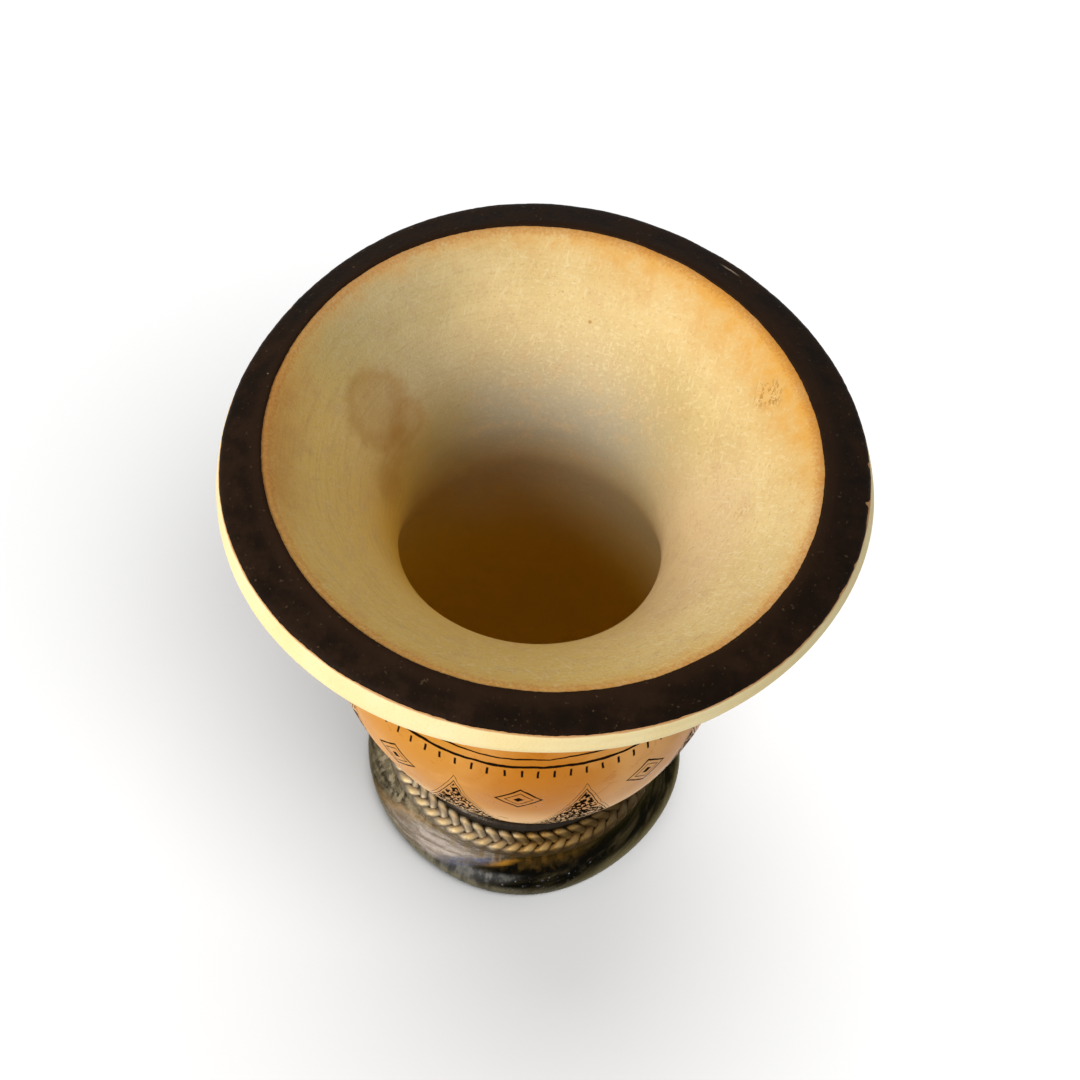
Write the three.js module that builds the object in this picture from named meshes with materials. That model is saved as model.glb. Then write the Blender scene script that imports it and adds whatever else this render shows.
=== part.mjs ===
// Mate gourd: a flared calabash cup cemented into a small turned metal foot.
// Millimetres, +Z up. The origin is the centre of the face that the foot rests on.
import * as THREE from 'three';

// Whole cup
const totalHeight = 110;
const turnSteps = 48;
const gourdSteps = 8;
const metalSteps = 5;
const gap = 0.3;

// Cut rim and its black coat
const rimInnerRadius = 38.8;
const rimOuterRadius = 44.5;
const rimFall = 1.3;
const coatThickness = 0.6;

// Outside of the gourd: radii and heights, then the lengths of the curve handles there
const lipRadius = 45.6;
const lipHeight = 105.6;
const lipCorner = { out: 0.65, down: 1.2 };
const waistRadius = 28.6;
const waistHeight = 81;
const bellyRadius = 33.7;
const bellyHeight = 60;
const gourdBottom = 5;
const outsideHandles = { lip: 6, waistUp: 12, waistDown: 8, bellyUp: 10, bellyDown: 23, bottom: 17.6 };

// Inside of the gourd
const throatRadius = 20.3;
const funnelDepth = 27;
const funnelPower = 1.75;
const bulbRadius = 24.8;
const bulbHeight = 57;
const cavityBottom = 13;
const insideHandles = { throat: 10, bulbUp: 12, bulbDown: 22, bottom: 16 };

// Metal foot: a shoulder that slopes from the collar round the gourd, then a flared skirt
const collarRadius = 21.6;
const collarTop = 16.3;
const shoulderRadius = 26.8;
const shoulderHeight = 14.06;
const footRadius = 31;
const flareHeight = 5;
const restRadius = 28.4;
const flangeRadius = 22;
const metalThickness = 1.1;
const footHandles = { shoulder: 4, flareUp: 4, flareDown: 3, rest: 1.6 };

// Wire along the foot's collar
const lipWireRing = 22.1;
const lipWireRadius = 1.4;
const lipWireSides = 12;

// Two-row plait on the shoulder
const plaitInner = 22.9;
const plaitRows = 2;
const plaitRowWidth = 1.95;
const plaitThickness = 1.1;
const plaitBack = 0.3;

// Disc under the foot, and the fill between it and the gourd
const plateRadius = 25.5;
const plateThickness = 1.2;
const fillTop = 15;

const pith = new THREE.MeshStandardMaterial({ color: 0xd9b877, roughness: 0.7, metalness: 0 });
const blackCoat = new THREE.MeshStandardMaterial({ color: 0x241a12, roughness: 0.5, metalness: 0 });
const darkMetal = new THREE.MeshStandardMaterial({ color: 0x5e574c, roughness: 0.35, metalness: 0.9 });
const brass = new THREE.MeshStandardMaterial({ color: 0x9c8350, roughness: 0.4, metalness: 0.9 });
const plaster = new THREE.MeshStandardMaterial({ color: 0xc9c2b4, roughness: 0.9, metalness: 0 });

const cup = new THREE.Group();

// Turns an outline of radius and height pairs about the Z axis.
// Each outline runs up the inside and down the outside, and the lathe takes it the other way.
function addTurned(name, outline, material) {
  const geometry = new THREE.LatheGeometry(outline.reverse(), turnSteps);
  geometry.rotateX(Math.PI / 2);
  const mesh = new THREE.Mesh(geometry, material);
  mesh.name = name;
  cup.add(mesh);
}

// Radius of the funnel at a height between the throat and the rim.
function funnelRadius(height) {
  const depth = (totalHeight - height) / funnelDepth;
  return throatRadius + (rimInnerRadius - throatRadius) * (1 - depth) ** funnelPower;
}

// Lower half of the gourd's outside, from the belly to the bottom, moved out by an allowance.
function gourdUnderside(allowance) {
  const radius = bellyRadius + allowance;
  const bottom = gourdBottom - allowance;
  const underside = new THREE.Path();
  underside.moveTo(radius, bellyHeight);
  underside.bezierCurveTo(
    radius, bellyHeight - outsideHandles.bellyDown,
    outsideHandles.bottom + allowance, bottom,
    0, bottom,
  );
  return underside.getPoints(gourdSteps);
}

// Cavity and funnel, from the cavity's bottom up to the rim.
function gourdInside(rimTop) {
  const throatHeight = totalHeight - funnelDepth;
  const cavity = new THREE.Path();
  cavity.moveTo(0, cavityBottom);
  cavity.bezierCurveTo(
    insideHandles.bottom, cavityBottom,
    bulbRadius, bulbHeight - insideHandles.bulbDown,
    bulbRadius, bulbHeight,
  );
  cavity.bezierCurveTo(
    bulbRadius, bulbHeight + insideHandles.bulbUp,
    throatRadius, throatHeight - insideHandles.throat,
    throatRadius, throatHeight,
  );
  const points = cavity.getPoints(gourdSteps);
  for (let step = 1; step <= gourdSteps; step += 1) {
    const height = throatHeight + (rimTop - throatHeight) * step / gourdSteps;
    points.push(new THREE.Vector2(funnelRadius(height), height));
  }
  return points;
}

// Lip, flared neck and shoulder, from the rim down to the belly.
function gourdOutside(rimEdge) {
  const flare = new THREE.Path();
  flare.moveTo(rimOuterRadius, rimEdge);
  flare.quadraticCurveTo(rimOuterRadius + lipCorner.out, rimEdge - lipCorner.down, lipRadius, lipHeight);
  flare.bezierCurveTo(
    lipRadius, lipHeight - outsideHandles.lip,
    waistRadius, waistHeight + outsideHandles.waistUp,
    waistRadius, waistHeight,
  );
  flare.bezierCurveTo(
    waistRadius, waistHeight - outsideHandles.waistDown,
    bellyRadius, bellyHeight + outsideHandles.bellyUp,
    bellyRadius, bellyHeight,
  );
  return flare.getPoints(gourdSteps);
}

function gourdOutline() {
  const rimTop = totalHeight - coatThickness - gap;
  const underside = gourdUnderside(0).slice(1);
  return [...gourdInside(rimTop), ...gourdOutside(rimTop - rimFall), ...underside];
}

// Black coat: a thin ring on the sloping rim.
function coatOutline() {
  return [
    new THREE.Vector2(rimInnerRadius, totalHeight - coatThickness),
    new THREE.Vector2(rimInnerRadius, totalHeight),
    new THREE.Vector2(rimOuterRadius, totalHeight - rimFall),
    new THREE.Vector2(rimOuterRadius, totalHeight - rimFall - coatThickness),
    new THREE.Vector2(rimInnerRadius, totalHeight - coatThickness),
  ];
}

// Height of the foot's sloping shoulder at a radius.
function shoulderAt(radius) {
  return THREE.MathUtils.mapLinear(radius, collarRadius, shoulderRadius, collarTop, shoulderHeight);
}

// Foot wall, from the collar's edge down to the face that the foot rests on.
function footWall(inset) {
  const shoulder = shoulderRadius - inset;
  const corner = shoulderHeight - inset;
  const flare = footRadius - inset;
  const rest = restRadius - inset;
  const wall = new THREE.Path();
  wall.moveTo(collarRadius, collarTop - inset);
  wall.lineTo(shoulder, corner);
  wall.bezierCurveTo(
    shoulder, corner - footHandles.shoulder,
    flare, flareHeight + footHandles.flareUp,
    flare, flareHeight,
  );
  wall.bezierCurveTo(
    flare, flareHeight - footHandles.flareDown,
    rest + footHandles.rest, inset,
    rest, inset,
  );
  return wall.getPoints(metalSteps);
}

// Foot: a thin wall, rolled at its lower edge into a flange that carries the plate.
function footOutline() {
  const outside = footWall(0);
  const inside = footWall(metalThickness).reverse();
  const flange = [
    new THREE.Vector2(flangeRadius, 0),
    new THREE.Vector2(flangeRadius, metalThickness),
  ];
  return [...outside, ...flange, ...inside, outside[0]];
}

// Lip wire: a round ring that lies on the shoulder at the collar.
function lipWireOutline() {
  const slope = (collarTop - shoulderHeight) / (shoulderRadius - collarRadius);
  const height = shoulderAt(lipWireRing) + (gap + lipWireRadius) * Math.hypot(1, slope);
  const wire = new THREE.Path();
  wire.absarc(lipWireRing, height, lipWireRadius, 2 * Math.PI, 0, true);
  return wire.getPoints(lipWireSides / 2);
}

// Plait: half-round rows, one outside the other, on a back that follows the shoulder.
function plaitOutline() {
  const plaitOuter = plaitInner + plaitRows * plaitRowWidth;
  const crown = (plaitThickness - plaitBack) * 4 / 3;
  const back = (radius) => shoulderAt(radius) + gap;
  const valley = (radius) => back(radius) + plaitBack;
  const band = new THREE.Path();
  band.moveTo(plaitInner, back(plaitInner));
  band.lineTo(plaitInner, valley(plaitInner));
  for (let row = 0; row < plaitRows; row += 1) {
    const inner = plaitInner + row * plaitRowWidth;
    const outer = inner + plaitRowWidth;
    band.bezierCurveTo(
      inner, valley(inner) + crown,
      outer, valley(outer) + crown,
      outer, valley(outer),
    );
  }
  band.lineTo(plaitOuter, back(plaitOuter));
  band.lineTo(plaitInner, back(plaitInner));
  return band.getPoints(metalSteps);
}

// Plate: a plain disc lying on the foot's flange.
function plateOutline() {
  const under = metalThickness + gap;
  return [
    new THREE.Vector2(0, under + plateThickness),
    new THREE.Vector2(plateRadius, under + plateThickness),
    new THREE.Vector2(plateRadius, under),
    new THREE.Vector2(0, under),
  ];
}

// Fill: a bed on the plate, hollowed by the gourd's bottom and shaped outside by the foot.
function fillOutline() {
  const fillBottom = metalThickness + plateThickness + 2 * gap;
  const seat = gourdUnderside(gap).filter((point) => point.y < fillTop).reverse();
  const wall = footWall(metalThickness + gap);
  const side = wall.filter((point) => point.y < fillTop && point.y > fillBottom);
  const lowest = side[side.length - 1];
  return [...seat, ...side, new THREE.Vector2(lowest.x, fillBottom), new THREE.Vector2(0, fillBottom)];
}

addTurned('gourd_shell', gourdOutline(), pith);
addTurned('rim_coat', coatOutline(), blackCoat);
addTurned('foot_cup', footOutline(), darkMetal);
addTurned('lip_wire', lipWireOutline(), darkMetal);
addTurned('plait_ring', plaitOutline(), brass);
addTurned('base_plate', plateOutline(), darkMetal);
addTurned('cement_bed', fillOutline(), plaster);

export default cup;
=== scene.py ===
import math
from types import SimpleNamespace

import bmesh
import bpy
from mathutils import Matrix, Vector, geometry, noise


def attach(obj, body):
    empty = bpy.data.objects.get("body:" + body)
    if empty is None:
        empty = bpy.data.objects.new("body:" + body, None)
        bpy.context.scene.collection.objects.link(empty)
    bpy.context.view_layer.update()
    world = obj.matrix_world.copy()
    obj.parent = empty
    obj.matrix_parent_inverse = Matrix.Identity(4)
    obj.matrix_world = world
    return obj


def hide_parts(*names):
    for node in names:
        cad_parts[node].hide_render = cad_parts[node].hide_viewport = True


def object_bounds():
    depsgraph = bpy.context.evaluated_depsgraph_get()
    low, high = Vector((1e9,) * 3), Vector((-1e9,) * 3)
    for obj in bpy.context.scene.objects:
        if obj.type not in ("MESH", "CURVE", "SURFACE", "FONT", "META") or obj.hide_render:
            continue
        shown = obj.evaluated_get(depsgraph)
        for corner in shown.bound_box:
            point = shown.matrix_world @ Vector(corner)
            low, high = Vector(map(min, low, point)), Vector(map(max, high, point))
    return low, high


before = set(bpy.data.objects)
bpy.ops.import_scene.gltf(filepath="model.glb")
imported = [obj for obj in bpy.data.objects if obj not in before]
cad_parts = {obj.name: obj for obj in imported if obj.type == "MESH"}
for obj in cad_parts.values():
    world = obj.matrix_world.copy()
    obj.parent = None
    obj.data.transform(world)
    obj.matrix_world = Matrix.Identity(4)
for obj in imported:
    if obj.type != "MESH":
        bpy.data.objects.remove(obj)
cadLow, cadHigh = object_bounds()
scene = bpy.context.scene
scene.view_settings.view_transform = "Standard"
fullTurn = 2 * math.pi
pieces = []                     # what the key lamp lights
print("frame loaded with", len(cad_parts), "CAD nodes")


# Mesh helpers. An outline is a list of (radius, height) pairs, in metres.

mergeDistance = 2e-6


def bend(start, startHandle, endHandle, end, steps):
    corners = [Vector((radius, 0, height)) for radius, height in (start, startHandle, endHandle, end)]
    return [(point.x, point.z) for point in geometry.interpolate_bezier(*corners, steps)]


def roundCorner(start, corner, end, steps):
    def towards(point):
        return tuple(p + (c - p) * 2 / 3 for p, c in zip(point, corner))
    return bend(start, towards(start), towards(end), end, steps)


def cleanUp(bm):
    bmesh.ops.remove_doubles(bm, verts=bm.verts, dist=mergeDistance)
    bmesh.ops.recalc_face_normals(bm, faces=bm.faces)


def turnOutline(outline, steps):
    bm = bmesh.new()
    points = [bm.verts.new((radius, 0, height)) for radius, height in outline]
    edges = [bm.edges.new(pair) for pair in zip(points, points[1:])]
    bmesh.ops.spin(bm, geom=points + edges, cent=(0, 0, 0), axis=(0, 0, 1),
                   angle=fullTurn, steps=steps, use_merge=True)
    cleanUp(bm)
    bm.normal_update()
    return bm


def smoothStep(value, low, high):
    share = min(max((value - low) / (high - low), 0), 1)
    return share * share * (3 - 2 * share)


def bell(angle, place, width):
    # 1 at that angle, falling to nothing on both sides
    return math.exp(-((angle - place) / width) ** 2)


def isOutside(normal, place):
    # faces that look away from the axis, or down
    return normal.x * place.x + normal.y * place.y > 0 or normal.z < -0.5


def addPiece(name, bm, materials, slot, *nodes):
    mesh = bpy.data.meshes.new(name)
    bm.to_mesh(mesh)
    bm.free()
    mesh.polygons.foreach_set("use_smooth", [True] * len(mesh.polygons))
    for material in materials:
        mesh.materials.append(material)
    piece = bpy.data.objects.new(name, mesh)
    scene.collection.objects.link(piece)
    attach(piece, "root")
    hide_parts(*nodes)
    pieces.append(piece)
    print(name, "has", len(mesh.polygons), "faces")
    return piece


# Node helpers. Sizes in the textures are in metres, because they read Object coordinates.

def tone(red, green, blue):
    # a colour as seen on screen, 0 to 255, as the linear colour that a shader takes
    def linear(part):
        part = part / 255
        return part / 12.92 if part < 0.04 else ((part + 0.055) / 1.055) ** 2.4
    return (linear(red), linear(green), linear(blue), 1.0)


tree = None             # the node tree that the helpers add to


def startNodes(owner):
    global tree
    owner.use_nodes = True
    tree = owner.node_tree
    return tree.nodes


def newMaterial(name):
    finish = bpy.data.materials.new(name)
    return finish, startNodes(finish)["Principled BSDF"]


def plug(socket, value):
    if isinstance(value, bpy.types.NodeSocket):
        tree.links.new(value, socket)
    elif socket.type == "RGBA":
        socket.default_value = tone(*value)
    else:
        socket.default_value = value


def addNode(kind, inputs, **settings):
    node = tree.nodes.new("ShaderNode" + kind)
    for name, value in settings.items():
        setattr(node, name, value)
    for name, value in inputs.items():
        plug(node.inputs[name], value)
    return node


def places():
    coords = addNode("TexCoord", {}).outputs["Object"]
    split = addNode("SeparateXYZ", {"Vector": coords})
    flat = addNode("CombineXYZ", {"X": split.outputs["X"], "Y": split.outputs["Y"]})
    radius = addNode("VectorMath", {0: flat.outputs[0]}, operation="LENGTH").outputs["Value"]
    return SimpleNamespace(all=coords, x=split.outputs["X"], y=split.outputs["Y"],
                           z=split.outputs["Z"], radius=radius)


def maths(operation, first, second=0.0):
    return addNode("Math", {0: first, 1: second}, operation=operation).outputs[0]


def both(first, *others):
    for other in others:
        first = maths("MULTIPLY", first, other)
    return first


def nudge(value, by, amount):
    # moves a value up and down with a noise that runs from 0 to 1
    swing = maths("MULTIPLY", maths("SUBTRACT", by, 0.5), amount)
    return maths("ADD", value, swing)


def slant(at, slope):
    # height on a plane that tips to one side
    return maths("ADD", at.z, maths("MULTIPLY", at.x, slope))


def towardsSide(at, x, y):
    return maths("ADD", maths("MULTIPLY", at.x, x), maths("MULTIPLY", at.y, y))


def facing(at, degrees):
    # 1 on the side at that angle round the axis, 0 a quarter turn away
    turn = math.radians(degrees)
    return maths("DIVIDE", towardsSide(at, math.cos(turn), math.sin(turn)), at.radius)


def fade(value, low, high, start=0.0, end=1.0):
    ends = {"Value": value, "From Min": low, "From Max": high, "To Min": start, "To Max": end}
    return addNode("MapRange", ends, interpolation_type="SMOOTHSTEP").outputs["Result"]


def between(value, low, high, soft):
    # 1 from the low value to the high one, with soft ends
    return both(fade(value, low - soft, low + soft), fade(value, high + soft, high - soft))


def cloud(coords, size, detail=4.0, roughness=0.55, warp=0.0):
    settings = {"Vector": coords, "Scale": 1 / size, "Detail": detail,
                "Roughness": roughness, "Distortion": warp}
    return addNode("TexNoise", settings).outputs["Fac"]


def stretch(coords, x, y, z):
    return addNode("Mapping", {"Vector": coords, "Scale": (x, y, z)}).outputs["Vector"]


def strokes(coords, turn, width, length):
    # short strokes, all along one turned direction
    settings = {"Vector": coords, "Rotation": turn, "Scale": (length / width, 1.0, 1.0)}
    turned = addNode("Mapping", settings, vector_type="TEXTURE")
    return cloud(turned.outputs["Vector"], width, 2, 0.5)


def dots(coords, spacing, size, share):
    # round dots with soft edges, one in each of some cells
    cells = addNode("TexVoronoi", {"Vector": coords, "Scale": 1 / spacing})
    pick = addNode("SeparateColor", {"Color": cells.outputs["Color"]}).outputs[0]
    disc = fade(cells.outputs["Distance"], size / spacing, size / spacing * 0.6)
    return both(disc, maths("LESS_THAN", pick, share))


def raggedDistance(coords, centre, ragged, amount):
    away = addNode("VectorMath", {0: coords, 1: centre}, operation="DISTANCE").outputs["Value"]
    return nudge(away, ragged, amount)


def spot(coords, centre, size, ragged, amount):
    # a soft stain of one size round one place
    away = raggedDistance(coords, centre, ragged, size * amount)
    return fade(away, size, size * 0.2)


def blot(coords, centre, size, ragged):
    # a stain round one place, darker along its outline
    away = raggedDistance(coords, centre, ragged, size * 0.7)
    outline = fade(away, size * 0.35, size * 0.80, 0.6, 1.0)
    return both(fade(away, size * 1.1, size * 0.72), outline)


def blend(share, under, over, mode="MIX"):
    node = addNode("Mix", {0: share, 6: under, 7: over}, data_type="RGBA", blend_type=mode)
    return node.outputs[2]


def bumps(shader, height, strength, distance):
    node = addNode("Bump", {"Height": height, "Strength": strength, "Distance": distance})
    plug(shader.inputs["Normal"], node.outputs["Normal"])


# Gourd: one grown shell, with bare pith in the funnel and varnished skin outside

gourd = {
    "rimInner": 0.0388, "rimOuter": 0.0445, "rimFall": 0.0013, "edgeRound": 0.0004,
    "lip": (0.0456, 0.1056), "lipCorner": (0.00065, 0.0012), "lipHandle": 0.006,
    "waist": (0.0286, 0.081), "waistHandles": (0.012, 0.008),
    "belly": (0.0337, 0.060), "bellyHandles": (0.010, 0.023),
    "bottom": 0.005, "bottomHandle": 0.0176,
    "throat": (0.0203, 0.083), "throatHandle": 0.010, "funnelPower": 1.75, "funnelRings": 30,
    "bulb": (0.0248, 0.057), "bulbHandles": (0.012, 0.022),
    "cavityBottom": 0.013, "cavityHandle": 0.016,
    "skinTop": 0.1030,              # below this height the outside keeps its skin
    "skinWander": 0.0003, "skinWaves": 0.004,   # how far the skin's edge strays, and the size of its waves
    # how the grown rim strays from a circle, as waves round it: count, size and the angle of a crest
    "innerWaves": ((1, 0.00040, 151), (2, 0.00048, 125), (3, 0.00016, -21)),
    "outerWaves": ((1, 0.00029, 41), (2, 0.00012, -33), (3, 0.00053, -25), (4, 0.00020, 16)),
    "lipWaves": ((1, 0.00029, 41), (2, 0.00012, -33), (3, 0.00072, -21)),
    "lipFlat": (-34, 24, 0.0007),   # angle, width and depth of a flatter place in the lip
    "funnelStrays": 0.098, "flareStrays": 0.088,    # heights from which the waves begin
    "lipEnds": (0.1062, 0.1080),    # between these heights the lip's waves become the rim's
    # how far the throat, belly and underside have grown to one side, and the heights where that starts
    "throatLean": (-0.0012, 0), "throatLeans": 0.017,
    "bellyLean": (-0.0004, 0.0002), "bellyLeans": 0.036,
    "underLean": (0.0005, 0.0006), "underLeans": (0.012, 0.028), "underFull": 0.040,
    "ripple": 0.00022, "rippleSize": 0.016,
    "calm": 0.002,                  # nothing ripples nearer to the rim than this
    "leanEnd": 0.008, "rippleEnd": 0.006,       # outside, the lean and the full ripples end this far below it
    "steps": 224,
}
coat = {
    "thickness": 0.00034, "edge": 0.00006, "sunk": 0.0002, "squareness": 8,
    "wander": 0.00008, "jitter": 0.00006,           # how far the brushed edges stray
    "waves": 9, "bristles": 60, "crumbs": 160,      # how closely they do
    # angle, width and depth of each chip in the outer edge
    "chips": ((0.3, 0.35, 0.0004), (-8.0, 0.5, 0.0006), (-10.5, 2.0, 0.0002), (-21, 0.5, 0.0002),
              (-27, 1.0, 0.00015), (152, 0.8, 0.00015)),
    # middle and half length of a scrape along the edge, and where its sides fade
    "scrape": ((0.0258, 0.0337, 0.1091), 0.0022), "scrapeSides": (0.00018, 0.00008),
    "black": (22, 13, 6), "brown": (44, 29, 18), "thin": (52, 34, 20), "dust": (92, 74, 54),
    "pit": (8, 6, 4), "grit": (150, 132, 108), "scratch": (120, 102, 82), "bare": (176, 154, 128),
    "mottle": 0.005, "specks": 0.0006, "scratches": (0.00018, 0.0030), "scratchTurn": (0.0, 0.0, 0.9),
    "pits": (0.0040, 0.00025, 0.4), "grits": (0.0046, 0.00016, 0.4),    # spacing, size and share of the dots
    "thinRadii": (0.0412, 0.0392),              # the coat is thinner towards its inner edge
    "count": 16, "steps": 720,
}
rimTop = cadHigh.z - coat["thickness"]


def rimHeight(radius):
    share = (radius - gourd["rimInner"]) / (gourd["rimOuter"] - gourd["rimInner"])
    return rimTop - gourd["rimFall"] * share


def funnelRadius(height):
    throatRadius, throatHeight = gourd["throat"]
    share = (height - throatHeight) / (cadHigh.z - throatHeight)
    return throatRadius + (gourd["rimInner"] - throatRadius) * share ** gourd["funnelPower"]


def gourdInside():
    (throatRadius, throatHeight), (bulbRadius, bulbHeight) = gourd["throat"], gourd["bulb"]
    bulbUp, bulbDown = gourd["bulbHandles"]
    bottom = gourd["cavityBottom"]
    cavity = bend((0, bottom), (gourd["cavityHandle"], bottom),
                  (bulbRadius, bulbHeight - bulbDown), gourd["bulb"], steps=26)
    neck = bend(gourd["bulb"], (bulbRadius, bulbHeight + bulbUp),
                (throatRadius, throatHeight - gourd["throatHandle"]), gourd["throat"], steps=16)
    edgeStart = rimTop - gourd["edgeRound"]
    count = gourd["funnelRings"]
    heights = [throatHeight + (edgeStart - throatHeight) * step / count for step in range(1, count + 1)]
    funnel = [(funnelRadius(height), height) for height in heights]
    edgeEnd = gourd["rimInner"] + gourd["edgeRound"]
    edge = roundCorner(funnel[-1], (gourd["rimInner"], rimTop), (edgeEnd, rimHeight(edgeEnd)), steps=5)
    return cavity + neck[1:] + funnel + edge[1:]


def gourdOutside():
    rimEdge = (gourd["rimOuter"], rimHeight(gourd["rimOuter"]))
    (lipRadius, lipHeight), (waistRadius, waistHeight) = gourd["lip"], gourd["waist"]
    bellyRadius, bellyHeight = gourd["belly"]
    waistUp, waistDown = gourd["waistHandles"]
    bellyUp, bellyDown = gourd["bellyHandles"]
    cornerOut, cornerDown = gourd["lipCorner"]
    lip = roundCorner(rimEdge, (rimEdge[0] + cornerOut, rimEdge[1] - cornerDown), gourd["lip"], steps=10)
    flare = bend(gourd["lip"], (lipRadius, lipHeight - gourd["lipHandle"]),
                 (waistRadius, waistHeight + waistUp), gourd["waist"], steps=30)
    shoulder = bend(gourd["waist"], (waistRadius, waistHeight - waistDown),
                    (bellyRadius, bellyHeight + bellyUp), gourd["belly"], steps=16)
    under = bend(gourd["belly"], (bellyRadius, bellyHeight - bellyDown),
                 (gourd["bottomHandle"], gourd["bottom"]), (0, gourd["bottom"]), steps=34)
    return lip + flare[1:] + shoulder[1:] + under[1:]


def waveAt(waves, angle):
    return sum(size * math.cos(count * (angle - math.radians(crest))) for count, size, crest in waves)


def strayRim(place):
    radius = max(math.hypot(place.x, place.y), mergeDistance)
    angle = math.atan2(place.y, place.x)
    across = min(max((radius - gourd["rimInner"]) / (gourd["rimOuter"] - gourd["rimInner"]), 0), 1)
    inner = waveAt(gourd["innerWaves"], angle) * smoothStep(place.z, gourd["funnelStrays"], rimTop)
    flatAngle, flatWidth, flatDepth = gourd["lipFlat"]
    flat = flatDepth * bell(math.degrees(angle), flatAngle, flatWidth)
    top = smoothStep(place.z, *gourd["lipEnds"])
    outer = waveAt(gourd["outerWaves"], angle) * top
    outer += (waveAt(gourd["lipWaves"], angle) - flat) * (1 - top)
    outer *= smoothStep(place.z, gourd["flareStrays"], gourd["lip"][1])
    return Vector((place.x, place.y, 0)) / radius * (inner * (1 - across) + outer * across)


def growUneven(bm):
    throatHeight, bellyHeight = gourd["throat"][1], gourd["belly"][1]
    calmHeight = rimTop - gourd["calm"]
    leanEnd, rippleEnd = rimTop - gourd["leanEnd"], rimTop - gourd["rippleEnd"]
    for vert in bm.verts:
        height = vert.co.z
        if isOutside(vert.normal, vert.co):
            belly = min(smoothStep(height, leanEnd, bellyHeight),
                        smoothStep(height, gourd["bellyLeans"], bellyHeight))
            under = min(smoothStep(height, bellyHeight, gourd["underFull"]),
                        smoothStep(height, *gourd["underLeans"]))
            lean = Vector((*gourd["bellyLean"], 0)) * belly + Vector((*gourd["underLean"], 0)) * under
            rippled = 1 - smoothStep(height, rippleEnd, calmHeight)
        else:
            rippled = smoothStep(height, calmHeight, throatHeight)
            throat = min(rippled, smoothStep(height, gourd["throatLeans"], throatHeight))
            lean = Vector((*gourd["throatLean"], 0)) * throat
        swell = noise.noise(vert.co / gourd["rippleSize"]) * gourd["ripple"] * rippled
        vert.co += vert.normal * swell + strayRim(vert.co) + lean


pith = {
    "pale": (242, 213, 150), "deep": (232, 202, 138), "warm": (242, 207, 122), "grey": (184, 174, 150),
    "patch": (222, 186, 136), "light": (252, 233, 182), "dark": (190, 150, 88), "ring": (196, 162, 102),
    "shade": (221, 229, 244), "honey": (236, 222, 160), "dusk": (246, 242, 226), "coolDusk": (245, 241, 252),
    "scorch": (235, 170, 68), "rust": (207, 150, 74), "burn": (190, 112, 48), "stain": (178, 122, 36),
    "tea": (219, 171, 26), "fleck": (236, 206, 140), "lip": (253, 236, 184), "lipDeep": (250, 226, 164),
    "blotches": 0.013, "patches": 0.0030, "grain": 0.00040, "rings": 0.0004, "squiggles": 0.0005,
    "fibre": (0.00052, 0.0026), "fibreTurns": ((0.3, 0.5, 0.2), (0.9, -0.6, 1.3), (-0.7, 0.8, 2.4)),
    "gap": (0.00040, 0.0014), "gapTurn": (1.4, 0.2, 0.8),
    "specks": (0.0045, 0.00020, 0.30), "flecks": (0.011, 0.00035, 0.25),    # spacing, size and share
    "insideRim": (0.0418, 0.0412), "outsideRim": (0.0418, 0.0424),          # radii
    # heights at which each finish starts and is full
    "heights": {
        "grey": (0.104, 0.086), "deepGrey": (0.074, 0.084), "fibres": (0.088, 0.100),
        "shade": (0.0765, 0.0870), "honey": (0.0985, 0.0860), "dusk": (0.1045, 0.0970),
        "wideHalo": (0.0990, 0.1115), "narrowHalo": (0.1066, 0.1108), "rust": (0.1030, 0.1095),
        "burn": (0.1086, 0.1098), "lipLine": (0.10795, 0.10825), "tea": (0.071, 0.040),
        "flecks": (0.080, 0.074),
    },
    # middle, size and strength of each one
    "stains": (((-0.0252, 0.0110, 0.0986), 0.0066, 0.42), ((-0.0205, 0.0120, 0.0942), 0.0042, 0.28)),
    "streaks": (((-0.0212, 0.0085, 0.0925), 0.0050, 0.34), ((-0.0228, 0.0036, 0.0906), 0.0058, 0.46),
                ((0.0054, 0.0287, 0.1007), 0.0004, 0.70)),
    "marks": (((0.0318, 0.0128, 0.1060), 0.0034, 0.75), ((0.0289, -0.0036, 0.1007), 0.0022, 0.40)),
}


def grownPith(at):
    # pale flesh, yellower on one side, with darker patches; greyer and darker towards the back of the throat,
    # which is painted shade
    heights = pith["heights"]
    colour = blend(fade(at.wide, 0.35, 0.7), pith["pale"], pith["deep"])
    sideways = nudge(towardsSide(at, -0.7, -0.7), at.wide, 0.02)
    colour = blend(fade(sideways, -0.006, 0.026), colour, pith["warm"])
    # painted shade: greyer and darker on the back wall towards the throat
    shadedBack = both(fade(at.y, -0.004, 0.020), fade(at.z, *heights["grey"], 0, 0.95),
                fade(at.z, *heights["deepGrey"], 0.60, 1.0))
    colour = blend(shadedBack, colour, pith["grey"])
    return blend(fade(at.ragged, 0.50, 0.66, 0, 0.30), colour, pith["patch"])


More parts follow.
